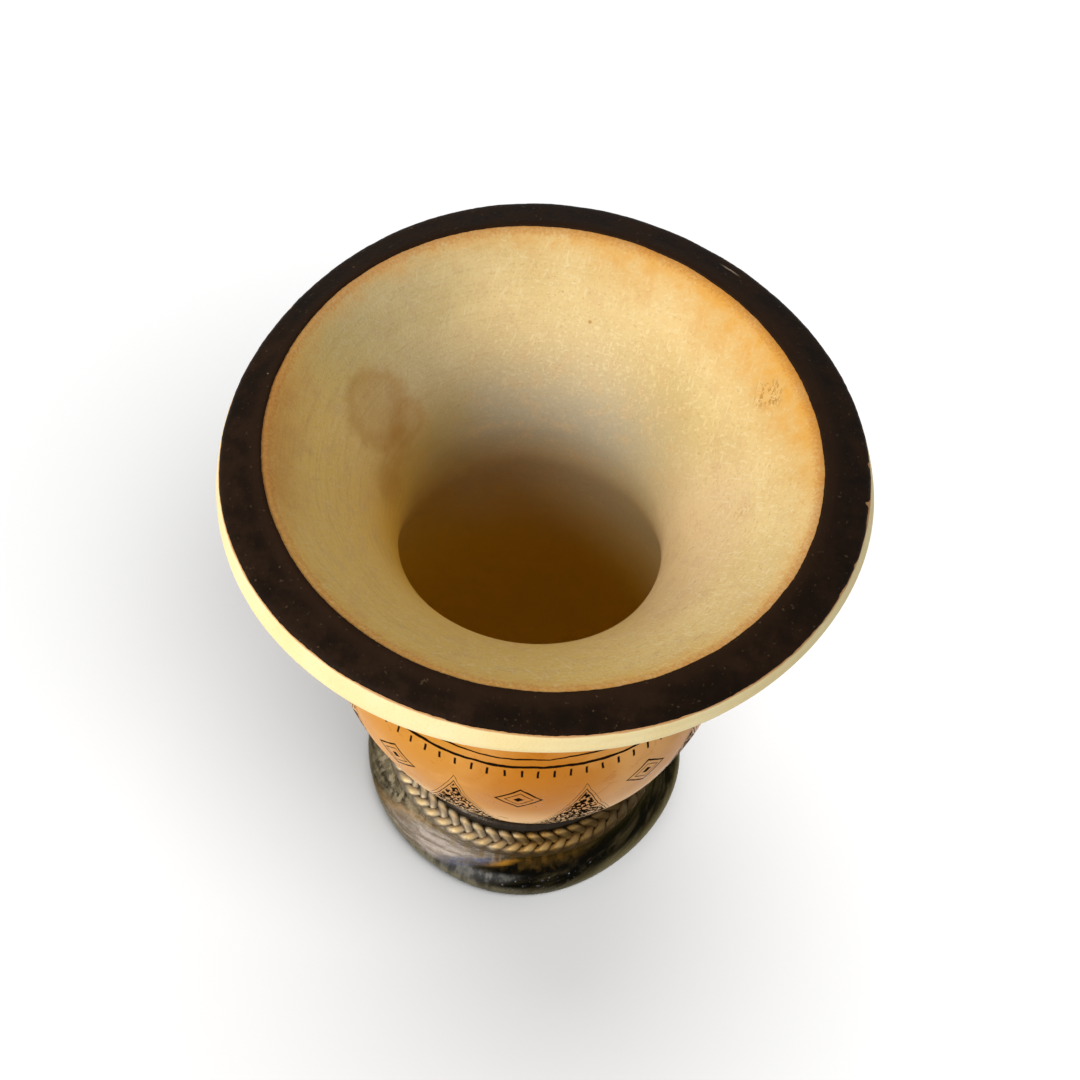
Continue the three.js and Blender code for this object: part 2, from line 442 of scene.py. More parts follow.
def turnedPith(at, colour):
    # rings left by turning the mouth, more of them on one side, and short fibres every way
    rings = cloud(stretch(at.all, 0.06, 0.06, 1.0), pith["rings"], 3, 0.6)
    ringed = both(fade(rings, 0.46, 0.78), fade(at.left, 0, 1, 0.12, 0.34))
    colour = blend(ringed, colour, pith["ring"])
    bare = fade(at.left, 0, 1, 1.0, 0.5)
    gaps = strokes(at.all, pith["gapTurn"], *pith["gap"])
    colour = blend(both(fade(gaps, 0.42, 0.28, 0, 0.34), bare), colour, pith["dark"])
    colour = blend(fade(at.grain, 0.46, 0.30, 0, 0.20), colour, pith["dark"])
    fibres = 0.0
    for turn in pith["fibreTurns"]:
        fibres = maths("MAXIMUM", fibres, strokes(at.all, turn, *pith["fibre"]))
    upper = fade(at.z, *pith["heights"]["fibres"], 0.25, 1.0)
    fibrous = both(fade(fibres, 0.59, 0.70, 0, 0.44), bare, upper)
    grainy = both(fade(at.grain, 0.58, 0.72, 0, 0.14), upper)
    for pale in (fibrous, grainy):
        colour = blend(pale, colour, pith["light"])
    specks = both(dots(at.all, *pith["specks"]), 0.5)
    relief = maths("ADD", rings, maths("ADD", fibres, at.grain))
    return blend(specks, colour, pith["stain"]), relief


def shadedPith(at, colour):
    # painted shade: greyer and darker on one side of the back, a warm painted shade low on the left of the
    # throat, and darker low on the right
    heights = pith["heights"]
    # painted shade, greyer, on one side of the back
    greyed = both(fade(nudge(facing(at, 200), at.wide, 0.2), -0.28, 0.68),
                  fade(facing(at, 110), 0.36, 0.74), fade(slant(at, 0.7), *heights["shade"]))
    colour = blend(greyed, colour, pith["shade"], "MULTIPLY")
    # painted warm shade: yellower and a little darker low on the left
    yellowedLow = both(fade(nudge(at.x, at.wide, 0.010), -0.008, -0.021), fade(at.z, *heights["honey"]))
    colour = blend(yellowedLow, colour, pith["honey"], "MULTIPLY")
    # painted shade: darker low on the right, cooler towards the back
    dulled = both(fade(at.x, 0.006, 0.020), fade(at.z, *heights["dusk"]))
    dusk = blend(fade(at.y, -0.002, 0.014), pith["coolDusk"], pith["dusk"])
    return blend(dulled, colour, dusk, "MULTIPLY")


def scorchedRim(at, colour):
    # a halo inside the rim: narrow all round, wide and soft on one side, rusty on the other
    heights = pith["heights"]
    inside = fade(at.radius, *pith["insideRim"])
    rough = nudge(nudge(at.z, at.ragged, 0.0040), at.grain, 0.0040)
    side = nudge(towardsSide(at, 7.6, 6.2), at.wide, 0.30)
    wideHalo = both(fade(rough, *heights["wideHalo"]), fade(side, 0.15, 0.41),
                    fade(at.ragged, 0.36, 0.62, 0.7, 1.0), inside)
    narrowHalo = both(fade(rough, *heights["narrowHalo"], 0, 0.60), inside)
    for halo in (wideHalo, narrowHalo):
        colour = blend(halo, colour, pith["scorch"])
    along = nudge(at.y, at.wide, 0.014)
    rusty = both(fade(rough, *heights["rust"], 0, 0.70), fade(at.x, -0.025, -0.034),
                 fade(along, 0.018, 0.004), fade(along, -0.020, -0.008), inside)
    colour = blend(rusty, colour, pith["rust"])
    edge = fade(nudge(at.z, at.grain, 0.0018), *heights["burn"])
    return blend(both(edge, inside, 0.55), colour, pith["burn"])


def stainedPith(at, colour):
    # stains with a darker outline, streaks below them, and marks made of squiggles
    squiggles = cloud(stretch(at.all, 1.0, 0.5, 0.5), pith["squiggles"], 2, 0.5, 1.5)
    squiggles = fade(squiggles, 0.50, 0.57)
    for centre, size, strength in pith["stains"]:
        stained = blot(at.all, centre, size, at.ragged)
        colour = blend(both(stained, strength), colour, pith["stain"])
    for centre, size, strength in pith["streaks"]:
        stained = spot(at.all, centre, size, at.ragged, 0.9)
        colour = blend(both(stained, strength), colour, pith["stain"])
    for centre, size, strength in pith["marks"]:
        stained = spot(at.all, centre, size, at.ragged, 0.9)
        colour = blend(both(stained, squiggles, strength), colour, pith["stain"])
    return colour


def steepedThroat(at, colour):
    # tea stain below the throat, with a few pale flecks
    heights = pith["heights"]
    steeped = fade(nudge(slant(at, 0.2), at.wide, 0.010), *heights["tea"])
    colour = blend(steeped, colour, pith["tea"])
    flecks = both(dots(at.all, *pith["flecks"]), fade(at.z, *heights["flecks"], 0, 0.5))
    return blend(flecks, colour, pith["fleck"])


def creamLip(at, colour):
    # yellow lip, with a thin scorched line under the coat
    outside = fade(at.radius, *pith["outsideRim"])
    cream = blend(fade(at.wide, 0.3, 0.7), pith["lip"], pith["lipDeep"])
    creamy = both(outside, fade(at.grain, 0.3, 0.5, 0.75, 0.97))
    colour = blend(creamy, colour, cream)
    line = fade(nudge(at.z, at.ragged, 0.0004), *pith["heights"]["lipLine"])
    return blend(both(outside, line, 0.75), colour, pith["burn"])


def makePith():
    finish, shader = newMaterial("barePith")
    at = places()
    at.wide = cloud(at.all, pith["blotches"], 3)
    at.ragged = cloud(at.all, pith["patches"], 4, 0.6)
    at.grain = cloud(at.all, pith["grain"], 3, 0.6)
    at.left = fade(at.x, 0.006, -0.026)
    colour, relief = turnedPith(at, grownPith(at))
    for layer in (shadedPith, scorchedRim, stainedPith, steepedThroat, creamLip):
        colour = layer(at, colour)
    plug(shader.inputs["Base Color"], colour)
    plug(shader.inputs["Roughness"], fade(at.grain, 0.3, 0.7, 0.62, 0.82))
    shader.inputs["Specular IOR Level"].default_value = 0.25
    bumps(shader, relief, 0.18, 0.0003)
    return finish


frieze = {
    "count": 10, "turn": 0.5,                       # triangles round the belly, and where the first is
    "low": 0.0300, "rise": 0.0315, "base": 0.0330, "top": 0.0688,
    "line": 0.00026, "fine": 0.00014, "soft": 0.00006,
    "zigzagGap": 0.0019, "borderGap": 0.0016,       # from a line to the fine one beside it
    "handSize": 0.006, "handRise": 0.0012, "handTurn": 0.05, "pressureSize": 0.0016,    # how the hand strays
    "ticks": 8, "tickEdge": (0.10, 0.05), "tickFoot": (-0.0024, -0.0021), "tickHead": (-0.0006, -0.0009),
    "diamond": (0.0595, 0.0036, 0.0022, 0.0008), "coreSoft": 0.0001,    # height of its middle, then sizes
    "stipple": 0.00055, "stippleTop": (-0.0009, -0.0011),
    "zigzagFoot": (0, 0.0002), "stippleFoot": (0.0020, 0.0022),     # heights above the base
    "ink": (26, 17, 9),
}


def burntFrieze(at):
    # a zigzag of stippled triangles with diamonds between, drawn by hand with a hot point
    shake = cloud(at.all, frieze["handSize"], 2)
    pressure = cloud(at.all, frieze["pressureSize"], 3)
    height = nudge(at.z, shake, frieze["handRise"])
    angle = maths("ARCTAN2", at.y, at.x)
    turns = maths("MULTIPLY", angle, frieze["count"] / fullTurn)
    turns = maths("ADD", nudge(turns, shake, frieze["handTurn"]), frieze["turn"])
    peak = maths("MULTIPLY", maths("PINGPONG", turns, 0.5), 2.0)
    edge = maths("ADD", maths("MULTIPLY", peak, frieze["rise"]), frieze["low"])
    above = maths("SUBTRACT", height, edge)

    def stroke(distance, offset, width):
        # a line where the distance is the offset, thicker where the hand pressed
        halfWidth = maths("MULTIPLY", maths("ADD", pressure, 0.5), width)
        away = maths("ABSOLUTE", maths("SUBTRACT", distance, offset))
        return fade(maths("SUBTRACT", halfWidth, away), -frieze["soft"], frieze["soft"])

    aboveBase = maths("SUBTRACT", height, frieze["base"])
    standing = fade(aboveBase, *frieze["zigzagFoot"])
    marks = [both(stroke(above, 0.0, frieze["line"]), standing),
             both(stroke(above, frieze["zigzagGap"], frieze["fine"]), standing)]
    for level in (frieze["top"], frieze["base"]):
        marks += [stroke(height, level, frieze["line"]),
                  stroke(height, level + frieze["borderGap"], frieze["fine"])]

    # ticks hang from the upper border
    tick = maths("PINGPONG", maths("MULTIPLY", turns, frieze["ticks"]), 0.5)
    hang = maths("SUBTRACT", height, frieze["top"])
    marks.append(both(fade(tick, *frieze["tickEdge"]), fade(hang, *frieze["tickFoot"]),
                      fade(hang, *frieze["tickHead"])))

    # diamonds in the valleys
    middle, outer, inner, core = frieze["diamond"]
    aside = maths("MULTIPLY", peak, gourd["belly"][0] * math.pi / frieze["count"])
    away = maths("ADD", aside, maths("ABSOLUTE", maths("SUBTRACT", height, middle)))
    marks += [stroke(away, outer, frieze["line"]), stroke(away, inner, frieze["fine"]),
              fade(away, core + frieze["coreSoft"], core)]

    # stippled triangles
    stipple = cloud(stretch(at.all, 1.0, 1.0, 0.5), frieze["stipple"], 2, 0.5)
    marks.append(both(fade(above, *frieze["stippleTop"]), fade(aboveBase, *frieze["stippleFoot"]),
                      fade(stipple, 0.42, 0.50)))
    total = marks[0]
    for mark in marks[1:]:
        total = maths("MAXIMUM", total, mark)
    return total


skin = {
    "amber": (207, 139, 48), "tan": (226, 166, 92), "brown": (176, 100, 14), "edge": (150, 88, 26),
    "pinkSheen": (255, 206, 148), "ochre": (192, 114, 0),
    "ochreSpot": ((0.003, -0.0335, 0.0640), 0.017),      # middle and size of a deeper ochre place at the front of the belly
    "blotches": 0.020, "clouding": 0.0045,
    "sheenHeights": (0.053, 0.042), "edgeHeights": (0.1020, 0.1028),
}


def makeSkin():
    finish, shader = newMaterial("varnishedSkin")
    at = places()
    wide = cloud(at.all, skin["blotches"], 3, 0.5)
    close = cloud(at.all, skin["clouding"], 5, 0.6, 0.6)
    colour = blend(fade(wide, 0.38, 0.66), skin["amber"], skin["tan"])
    colour = blend(fade(close, 0.50, 0.78, 0, 0.5), colour, skin["tan"])
    colour = blend(fade(close, 0.42, 0.25, 0, 0.4), colour, skin["brown"])
    # painted sheen: pinker low on the belly
    low = fade(nudge(at.z, wide, 0.012), *skin["sheenHeights"])
    colour = blend(low, colour, skin["pinkSheen"])
    ochred = both(spot(at.all, *skin["ochreSpot"], close, 0.5), 0.85)
    colour = blend(ochred, colour, skin["ochre"])
    colour = blend(fade(at.z, *skin["edgeHeights"], 0, 0.6), colour, skin["edge"])
    burnt = burntFrieze(at)
    colour = blend(burnt, colour, frieze["ink"])
    plug(shader.inputs["Base Color"], colour)
    plug(shader.inputs["Roughness"], fade(close, 0.3, 0.7, 0.26, 0.40))
    plug(shader.inputs["Specular IOR Level"], fade(burnt, 0, 1, 0.07, 0))
    bumps(shader, maths("ADD", wide, maths("MULTIPLY", close, 0.3)), 0.2, 0.0008)
    return finish


def makeGourd():
    bm = turnOutline(gourdInside() + gourdOutside(), gourd["steps"])
    growUneven(bm)
    for face in bm.faces:
        middle = face.calc_center_median()
        skinned = isOutside(face.normal, middle) and middle.z < gourd["skinTop"]
        face.material_index = 1 if skinned else 0
    for vert in bm.verts:
        if len({face.material_index for face in vert.link_faces}) == 2:
            vert.co.z += noise.noise(vert.co / gourd["skinWaves"]) * gourd["skinWander"]
    addPiece("gourd", bm, (makePith(), makeSkin()), "gourd", "gourd_shell")


makeGourd()


# Black coat on the rim: a thin brushed layer, chipped along its outer edge

def makeCoatFinish():
    finish, shader = newMaterial("blackCoat")
    at = places()
    mottle = cloud(at.all, coat["mottle"], 6, 0.65)
    specks = cloud(at.all, coat["specks"], 2, 0.5)
    colour = blend(fade(mottle, 0.35, 0.7), coat["black"], coat["brown"])
    inwards = fade(nudge(at.radius, mottle, 0.004), *coat["thinRadii"], 0, 0.5)
    colour = blend(inwards, colour, coat["thin"])
    colour = blend(fade(specks, 0.66, 0.76, 0, 0.55), colour, coat["dust"])
    colour = blend(both(dots(at.all, *coat["pits"]), 0.8), colour, coat["pit"])
    colour = blend(both(dots(at.all, *coat["grits"]), 0.7), colour, coat["grit"])
    scratches = strokes(at.all, coat["scratchTurn"], *coat["scratches"])
    colour = blend(fade(scratches, 0.74, 0.80, 0, 0.45), colour, coat["scratch"])
    middle, reach = coat["scrape"]
    aside = maths("SUBTRACT", nudge(at.radius, specks, 0.0003), math.hypot(middle[0], middle[1]))
    scraped = both(spot(at.all, middle, reach, specks, 0.4),
                   fade(maths("ABSOLUTE", aside), *coat["scrapeSides"], 0, 0.8))
    colour = blend(scraped, colour, coat["bare"])
    plug(shader.inputs["Base Color"], colour)
    plug(shader.inputs["Roughness"], fade(mottle, 0.3, 0.7, 0.48, 0.62))
    shader.inputs["Specular IOR Level"].default_value = 0.04
    bumps(shader, maths("ADD", mottle, specks), 0.2, 0.0003)
    return finish


def coatOutline():
    inner, outer = gourd["rimInner"], gourd["rimOuter"]
    top = []
    under = []
    for step in range(coat["count"] + 1):
        share = step / coat["count"]
        radius = inner + (outer - inner) * share
        crown = 1 - abs(2 * share - 1) ** coat["squareness"]
        thickness = coat["edge"] + (coat["thickness"] - coat["edge"]) * crown
        top.append((radius, rimHeight(radius) + thickness))
        under.append((radius, rimHeight(radius) - coat["sunk"]))
    return top + under[::-1] + top[:1]


def makeCoat():
    bm = turnOutline(coatOutline(), coat["steps"])
    middle = (gourd["rimInner"] + gourd["rimOuter"]) / 2
    for vert in bm.verts:
        radius = math.hypot(vert.co.x, vert.co.y)
        angle = math.degrees(math.atan2(vert.co.y, vert.co.x))
        outwards = Vector((vert.co.x, vert.co.y, 0)) / radius
        side = (radius - middle) / (gourd["rimOuter"] - middle)     # -1 at the inner edge, 1 at the outer
        edge = Vector((0, 0, side > 0))
        stray = noise.noise(outwards * coat["waves"] + edge) * coat["wander"]
        stray += noise.noise(outwards * coat["bristles"] + edge) * coat["jitter"]
        stray *= abs(side) ** 3
        if side > 0:
            ragged = 1 + 0.5 * noise.noise(outwards * coat["crumbs"])
            for place, width, depth in coat["chips"]:
                stray -= depth * ragged * bell(angle, place, width) * side ** 6
        vert.co += outwards * stray + strayRim(vert.co)
    addPiece("rimCoat", bm, (makeCoatFinish(),), "black_coat", "rim_coat")


makeCoat()


# Metal foot, its lip wire and the plate under it

foot = {
    "collar": (0.0216, 0.0163), "shoulder": (0.0268, 0.01406), "flare": (0.0310, 0.0050), "rest": 0.0284,
    "shoulderHandle": 0.004, "flareHandles": (0.004, 0.003), "restHandle": 0.0016, "edgeRound": 0.0005,
    "flange": 0.0220, "thickness": 0.0011, "steps": 192, "sharpAngle": 1.0,
    "dent": 0.00006, "dentSize": 0.009, "dentHeights": (0.0006, 0.003),
    # angle, width and size of places beaten in or out
    "knocks": ((-52, 26, -0.0008), (-128, 28, -0.0007), (-6, 18, 0.0005)),
}
lipWire = {"ring": 0.0221, "radius": 0.0014, "lift": 0.0001, "sides": 18, "steps": 192}
plate = {
    "radius": 0.0255, "low": 0.0014, "thickness": 0.0012, "sharpAngle": 0.6,
    "grooves": 5, "grooveDepth": 0.00018, "grooveHalf": 0.0006, "steps": 128,
}
metal = {
    # most of these colours are painted reflection and shade, laid by angle round the foot; moss is the
    # tarnish under them
    "darkReflection": (12, 11, 8), "olive": (58, 50, 32), "brown": (66, 48, 20), "rightOlive": (116, 106, 76),
    "moss": (118, 107, 84), "mossDark": (62, 56, 43), "bar": (178, 162, 132), "tan": (174, 140, 98),
    "pale": (184, 170, 158), "paleShade": (136, 122, 106), "blue": (98, 102, 128), "gold": (192, 134, 46),
    "speck": (128, 130, 138), "greyReflection": (74, 74, 74), "paleGreyReflection": (130, 127, 120),
    "wornAndSheen": (154, 146, 122), "wire": (36, 33, 32),
    "tooth": (116, 82, 34), "seat": (70, 54, 30), "litSeatShade": (112, 100, 80),
    "gloss": (0.60, 0.58, 0.50, 1.0),
    "smears": 0.0030, "streaks": 0.0016, "bars": 0.0015, "fine": 0.0008,
    # where the pale side is, how fast the painted reflections and shade turn as they climb, and the height at
    # which they stand there
    "paleAngle": -122, "climb": 75, "climbFrom": 0.010,
    # how far round from the pale side each patch starts and ends, in degrees, and how soft its ends are; most
    # are painted reflection and shade
    "angles": {
        "brown": (20, 52, 9), "olive": (76, 160, 12), "specks": (24, 72, 8), "tan": (-21, -12, 6),
        "pale": (-13, 12, 6), "greyReflection": (14, 36, 7), "blue": (11, 18, 4), "gold": (19, 23, 3),
    },
    # heights at which each finish starts and is full
    "heights": {
        "bars": (0.0085, 0.0112), "brown": (0.0098, 0.0122), "olive": (0.0084, 0.0058),
        "specks": (0.0098, 0.0085), "greyReflection": (0.0096, 0.0084), "rows": (0.0104, 0.0126),
        "wornAndSheen": (0.0070, 0.0050), "seat": (0.01345, 0.01385), "wire": (0.0158, 0.0166),
    },
    # lowest and highest place of a band, and how soft its ends are
    "bands": {
        "blue": (0.0076, 0.0118, 0.0010), "gold": (0.0106, 0.0124, 0.0010), "dull": (0.0136, 0.0156, 0.0003),
    },
}
plait = {
    "middle": 0.0246, "reach": 0.00138, "depth": 0.00028, "strand": 0.00088, "flatten": 0.42,
    "standOff": 0.00060, "strands": 3, "crossings": 19, "pointsEach": 24,
    # dark, brass and dull run from the shaded to the lit side as painted light and shade; crown is wear with
    # a painted highlight; the gap colours are painted shade
    "dark": (62, 52, 35), "brass": (128, 97, 50), "dull": (170, 152, 122), "crown": (184, 156, 104),
    "gap": (66, 50, 26), "litGapShade": (118, 106, 90), "tarnish": 0.0035, "fine": 0.0008, "litSide": -140,
    "crowns": (0.00104, 0.00124), "gaps": (0.00106, 0.00072),       # heights above the shoulder
    "middleGap": (0.00072, 0.00020), "outerGap": (0.00155, 0.00200),    # distances from the plait's middle
}
shoulderSlope = (foot["collar"][1] - foot["shoulder"][1]) / (foot["shoulder"][0] - foot["collar"][0])


def shoulderAt(radius):
    return foot["collar"][1] - (radius - foot["collar"][0]) * shoulderSlope


def footWall(inset):
    (collarRadius, collarTop), (shoulderRadius, shoulderHeight) = foot["collar"], foot["shoulder"]
    flareRadius, flareHeight = foot["flare"]
    flareUp, flareDown = foot["flareHandles"]
    bevel = foot["edgeRound"]
    corner = (shoulderRadius - inset, shoulderHeight - inset)
    before = (corner[0] - bevel, corner[1] + bevel * shoulderSlope)
    after = (corner[0], corner[1] - bevel)
    edge = roundCorner(before, corner, after, steps=5)
    skirt = bend(after, (corner[0], corner[1] - foot["shoulderHandle"]),
                 (flareRadius - inset, flareHeight + flareUp), (flareRadius - inset, flareHeight), steps=18)
    roll = bend(skirt[-1], (flareRadius - inset, flareHeight - flareDown),
                (foot["rest"] - inset + foot["restHandle"], inset), (foot["rest"] - inset, inset), steps=12)
    return [(collarRadius, collarTop - inset)] + edge + skirt[1:] + roll[1:]


def climbingPlaces():
    # the painted reflections, shade and tarnish mottle climb round the skirt, so their texture turns with the
    # height
    at = places()
    turn = maths("MULTIPLY", maths("SUBTRACT", at.z, metal["climbFrom"]), -metal["climb"])
    turn = maths("SUBTRACT", turn, math.radians(metal["paleAngle"]))
    turned = addNode("VectorRotate", {"Vector": at.all, "Angle": turn}, rotation_type="Z_AXIS")
    turned = turned.outputs["Vector"]
    split = addNode("SeparateXYZ", {"Vector": turned})
    at.smear = cloud(stretch(turned, 0.55, 0.55, 1.0), metal["smears"], 5, 0.62, 0.5)
    at.streak = cloud(stretch(turned, 0.35, 0.35, 1.3), metal["streaks"], 4, 0.6, 0.3)
    at.bars = cloud(stretch(at.all, 1.0, 1.0, 0.14), metal["bars"], 3, 0.55)
    at.fine = cloud(at.all, metal["fine"], 5, 0.65)
    around = maths("DEGREES", maths("ARCTAN2", split.outputs["Y"], split.outputs["X"]))
    at.around = nudge(around, at.smear, 18.0)
    # the side that the key lamp lights, where painted shade turns to painted light
    at.lit = fade(facing(at, plait["litSide"]), 0.70, 0.98)
    return at


def mottledMetal(at):
    # mottled olive all round, with upright streaks
    colour = blend(fade(at.smear, 0.38, 0.62), metal["mossDark"], metal["moss"])
    upright = both(fade(at.bars, 0.46, 0.60), fade(at.z, *metal["heights"]["bars"], 0.2, 0.85))
    return blend(upright, colour, metal["bar"])


def shadedSideMetal(at, colour):
    # painted shade and dark reflection on one side, a painted brown reflection high up, a painted olive
    # reflection low down, and pale specks
    heights, angles = metal["heights"], metal["angles"]
    # painted shade and dark reflection on the side away from the lit one
    darkSide = both(fade(at.around, 13, 24), fade(at.around, 170, 125))
    darkReflection = blend(fade(at.smear, 0.46, 0.72), metal["darkReflection"], metal["olive"])
    colour = blend(darkSide, colour, darkReflection)
    # painted brown reflection of the belly above, high on the front
    high = fade(nudge(at.z, at.bars, 0.006), *heights["brown"])
    brownReflection = both(high, between(at.around, *angles["brown"]))
    colour = blend(brownReflection, colour, metal["brown"])
    # painted olive reflection low down on the far side
    low = fade(nudge(at.z, at.smear, 0.004), *heights["olive"], 0, 0.9)
    oliveReflection = both(low, between(at.around, *angles["olive"]))
    colour = blend(oliveReflection, colour, metal["rightOlive"])
    specks = both(fade(at.fine, 0.60, 0.68, 0, 0.8), fade(at.z, *heights["specks"]),
                  between(at.around, *angles["specks"]))
    return blend(specks, colour, metal["speck"])


def paintedReflections(at, colour):
    # painted reflections on the polished side: a pale band, tan along one edge, blue, gold and grey along the
    # other
    angles, bands = metal["angles"], metal["bands"]
    paleReflection = blend(fade(at.streak, 0.36, 0.58), metal["paleShade"], metal["pale"])
    tanReflection = both(between(at.around, *angles["tan"]), 0.70)
    colour = blend(tanReflection, colour, metal["tan"])
    colour = blend(between(at.around, *angles["pale"]), colour, paleReflection)
    greyReflection = blend(fade(at.bars, 0.40, 0.62), metal["greyReflection"], metal["paleGreyReflection"])
    greyReflectionMask = both(fade(at.z, *metal["heights"]["greyReflection"]), between(at.around, *angles["greyReflection"]), 0.85)
    colour = blend(greyReflectionMask, colour, greyReflection)
    # painted reflection of the sky
    skyReflection = both(between(at.around, *angles["blue"]), fade(at.streak, 0.38, 0.56, 0.2, 0.8),
                 between(at.z, *bands["blue"]))
    colour = blend(skyReflection, colour, metal["blue"])
    # painted reflection of the plait's gold
    goldReflection = both(between(at.around, *angles["gold"]), between(at.z, *bands["gold"]), 0.95)
    return blend(goldReflection, colour, metal["gold"])


def plaitRowReflection(at, colour):
    # painted reflection of the plait's rows in the polish below it, paler on the lit side
    angle = maths("MULTIPLY", maths("ARCTAN2", at.y, at.x), plait["strands"] * plait["crossings"])
    row = fade(maths("COSINE", maths("ADD", angle, 0.75 * math.pi)), 0.0, 0.9)
    below = fade(nudge(at.z, at.smear, 0.004), *metal["heights"]["rows"], 0, 0.6)
    row = both(row, below, fade(facing(at, -112), 0.55, 0.85))
    return blend(row, colour, blend(at.lit, metal["tooth"], metal["bar"]))


def wornEdgeAndShade(at, colour):
    # wear with a painted reflection along the lower edge, painted shade on the plait's seat, and painted
    # shade with a dark reflection on the wire at the collar
    heights = metal["heights"]
    # worn lower edge, paler as a painted reflection
    wornAndSheen = both(fade(at.z, *heights["wornAndSheen"]), fade(at.bars, 0.38, 0.58, 0.35, 0.95),
                fade(at.around, 85, 20))
    colour = blend(wornAndSheen, colour, metal["wornAndSheen"])
    # painted shade on the plait's seat, lighter on the lit side
    seat = blend(at.lit, metal["seat"], metal["litSeatShade"])
    colour = blend(fade(at.z, *heights["seat"], 0, 0.9), colour, seat)
    # painted shade and dark reflection on the lip wire
    return blend(fade(at.z, *heights["wire"], 0, 0.85), colour, metal["wire"])


def makeMetal():
    finish, shader = newMaterial("agedMetalPaintedReflections")
    at = climbingPlaces()
    colour = mottledMetal(at)
    for layer in (shadedSideMetal, paintedReflections, plaitRowReflection, wornEdgeAndShade):
        colour = layer(at, colour)
    plug(shader.inputs["Base Color"], colour)
    shader.inputs["Metallic"].default_value = 1.0
    shader.inputs["Specular Tint"].default_value = metal["gloss"]
    dulled = both(between(at.z, *metal["bands"]["dull"]), 0.4)     # unpolished under the plait
    polish = fade(at.fine, 0.3, 0.7, 0.22, 0.40)
    plug(shader.inputs["Roughness"], maths("ADD", polish, dulled))
    bumps(shader, maths("ADD", at.smear, maths("MULTIPLY", at.fine, 0.4)), 0.25, 0.0006)
    return finish


def makeFoot(finish):
    outside = footWall(0)
    inside = footWall(foot["thickness"])[::-1]
    flange = [(foot["flange"], 0), (foot["flange"], foot["thickness"])]
    bm = turnOutline(outside + flange + inside + outside[:1], foot["steps"])
    for vert in bm.verts:
        radius = math.hypot(vert.co.x, vert.co.y)
        angle = math.degrees(math.atan2(vert.co.y, vert.co.x))
        dented = foot["dent"] * smoothStep(vert.co.z, *foot["dentHeights"])
        vert.co += vert.normal * noise.noise(vert.co / foot["dentSize"]) * dented
        beaten = sum(size * bell(angle, place, width) for place, width, size in foot["knocks"])
        beaten *= smoothStep(radius, foot["shoulder"][0], foot["flare"][0]) / radius
        vert.co += Vector((vert.co.x, vert.co.y, 0)) * beaten
    piece = addPiece("footCup", bm, (finish,), "foot_metal", "foot_cup")
    piece.data.set_sharp_from_angle(angle=foot["sharpAngle"])


def makeLipWire(finish):
    sides = lipWire["sides"]
    angles = [fullTurn * side / sides for side in range(sides)] + [0]
    rise = (lipWire["radius"] + lipWire["lift"]) * math.hypot(1, shoulderSlope)
    height = shoulderAt(lipWire["ring"]) + rise
    outline = [(lipWire["ring"] + lipWire["radius"] * math.cos(angle),
                height + lipWire["radius"] * math.sin(angle)) for angle in angles]
    addPiece("lipWire", turnOutline(outline, lipWire["steps"]), (finish,), "foot_metal", "lip_wire")


def makePlate(finish):
    low, high = plate["low"], plate["low"] + plate["thickness"]
    outline = [(0, high), (plate["radius"], high), (plate["radius"], low)]
    spacing = plate["radius"] / (plate["grooves"] + 1)
    half = plate["grooveHalf"]
    for groove in range(plate["grooves"], 0, -1):
        radius = groove * spacing
        outline += [(radius + half, low), (radius, low + plate["grooveDepth"]), (radius - half, low)]
    outline.append((0, low))
    bm = turnOutline(outline, plate["steps"])
    piece = addPiece("basePlate", bm, (finish,), "foot_metal", "base_plate")
    piece.data.set_sharp_from_angle(angle=plate["sharpAngle"])


agedMetal = makeMetal()
makeFoot(agedMetal)
makeLipWire(agedMetal)
makePlate(agedMetal)


# Brass plait on the shoulder: three strands that cross over and under

plaitLean = math.atan(shoulderSlope)
plaitSeat = shoulderAt(plait["middle"])


def makeBrass():
    finish, shader = newMaterial("wornBrassPaintedLightAndShade")
    at = places()
    tarnish = cloud(at.all, plait["tarnish"], 5, 0.6)
    fine = cloud(at.all, plait["fine"], 4, 0.6)
    # height above the shoulder: low between the strands, high on their crowns
    outward = maths("SUBTRACT", at.radius, plait["middle"])
    upward = maths("SUBTRACT", at.z, plaitSeat)
    raised = maths("ADD", maths("MULTIPLY", outward, math.sin(plaitLean)),
                   maths("MULTIPLY", upward, math.cos(plaitLean)))
    aside = maths("ABSOLUTE", outward)
    # painted light and shade round the plait: darker on the side away from the key lamp, paler and greyer on
    # the lit side
    around = nudge(facing(at, plait["litSide"]), tarnish, 0.3)
    dulled = fade(around, 0.55, 0.90)
    colour = blend(fade(around, -0.20, 0.60), plait["dark"], plait["brass"])
    colour = blend(dulled, colour, plait["dull"])
    # crowns lighter from wear and a painted highlight, more on the lit side
    wornAndSheen = both(fade(raised, *plait["crowns"], 0, 0.6), fade(around, 0.0, 0.6, 0.15, 1.0))
    colour = blend(wornAndSheen, colour, plait["crown"])
    # painted shade between the strands and where the rows meet, lighter on the lit side
    gap = blend(dulled, plait["gap"], plait["litGapShade"])
    colour = blend(fade(raised, *plait["gaps"], 0, 0.9), colour, gap)
    ends = maths("MAXIMUM", fade(aside, *plait["middleGap"]), fade(aside, *plait["outerGap"]))
    colour = blend(both(ends, 0.8), colour, gap)
    plug(shader.inputs["Base Color"], colour)
    shader.inputs["Metallic"].default_value = 1.0
    plug(shader.inputs["Roughness"], fade(fine, 0.3, 0.7, 0.50, 0.66))
    bumps(shader, fine, 0.25, 0.0003)
    return finish


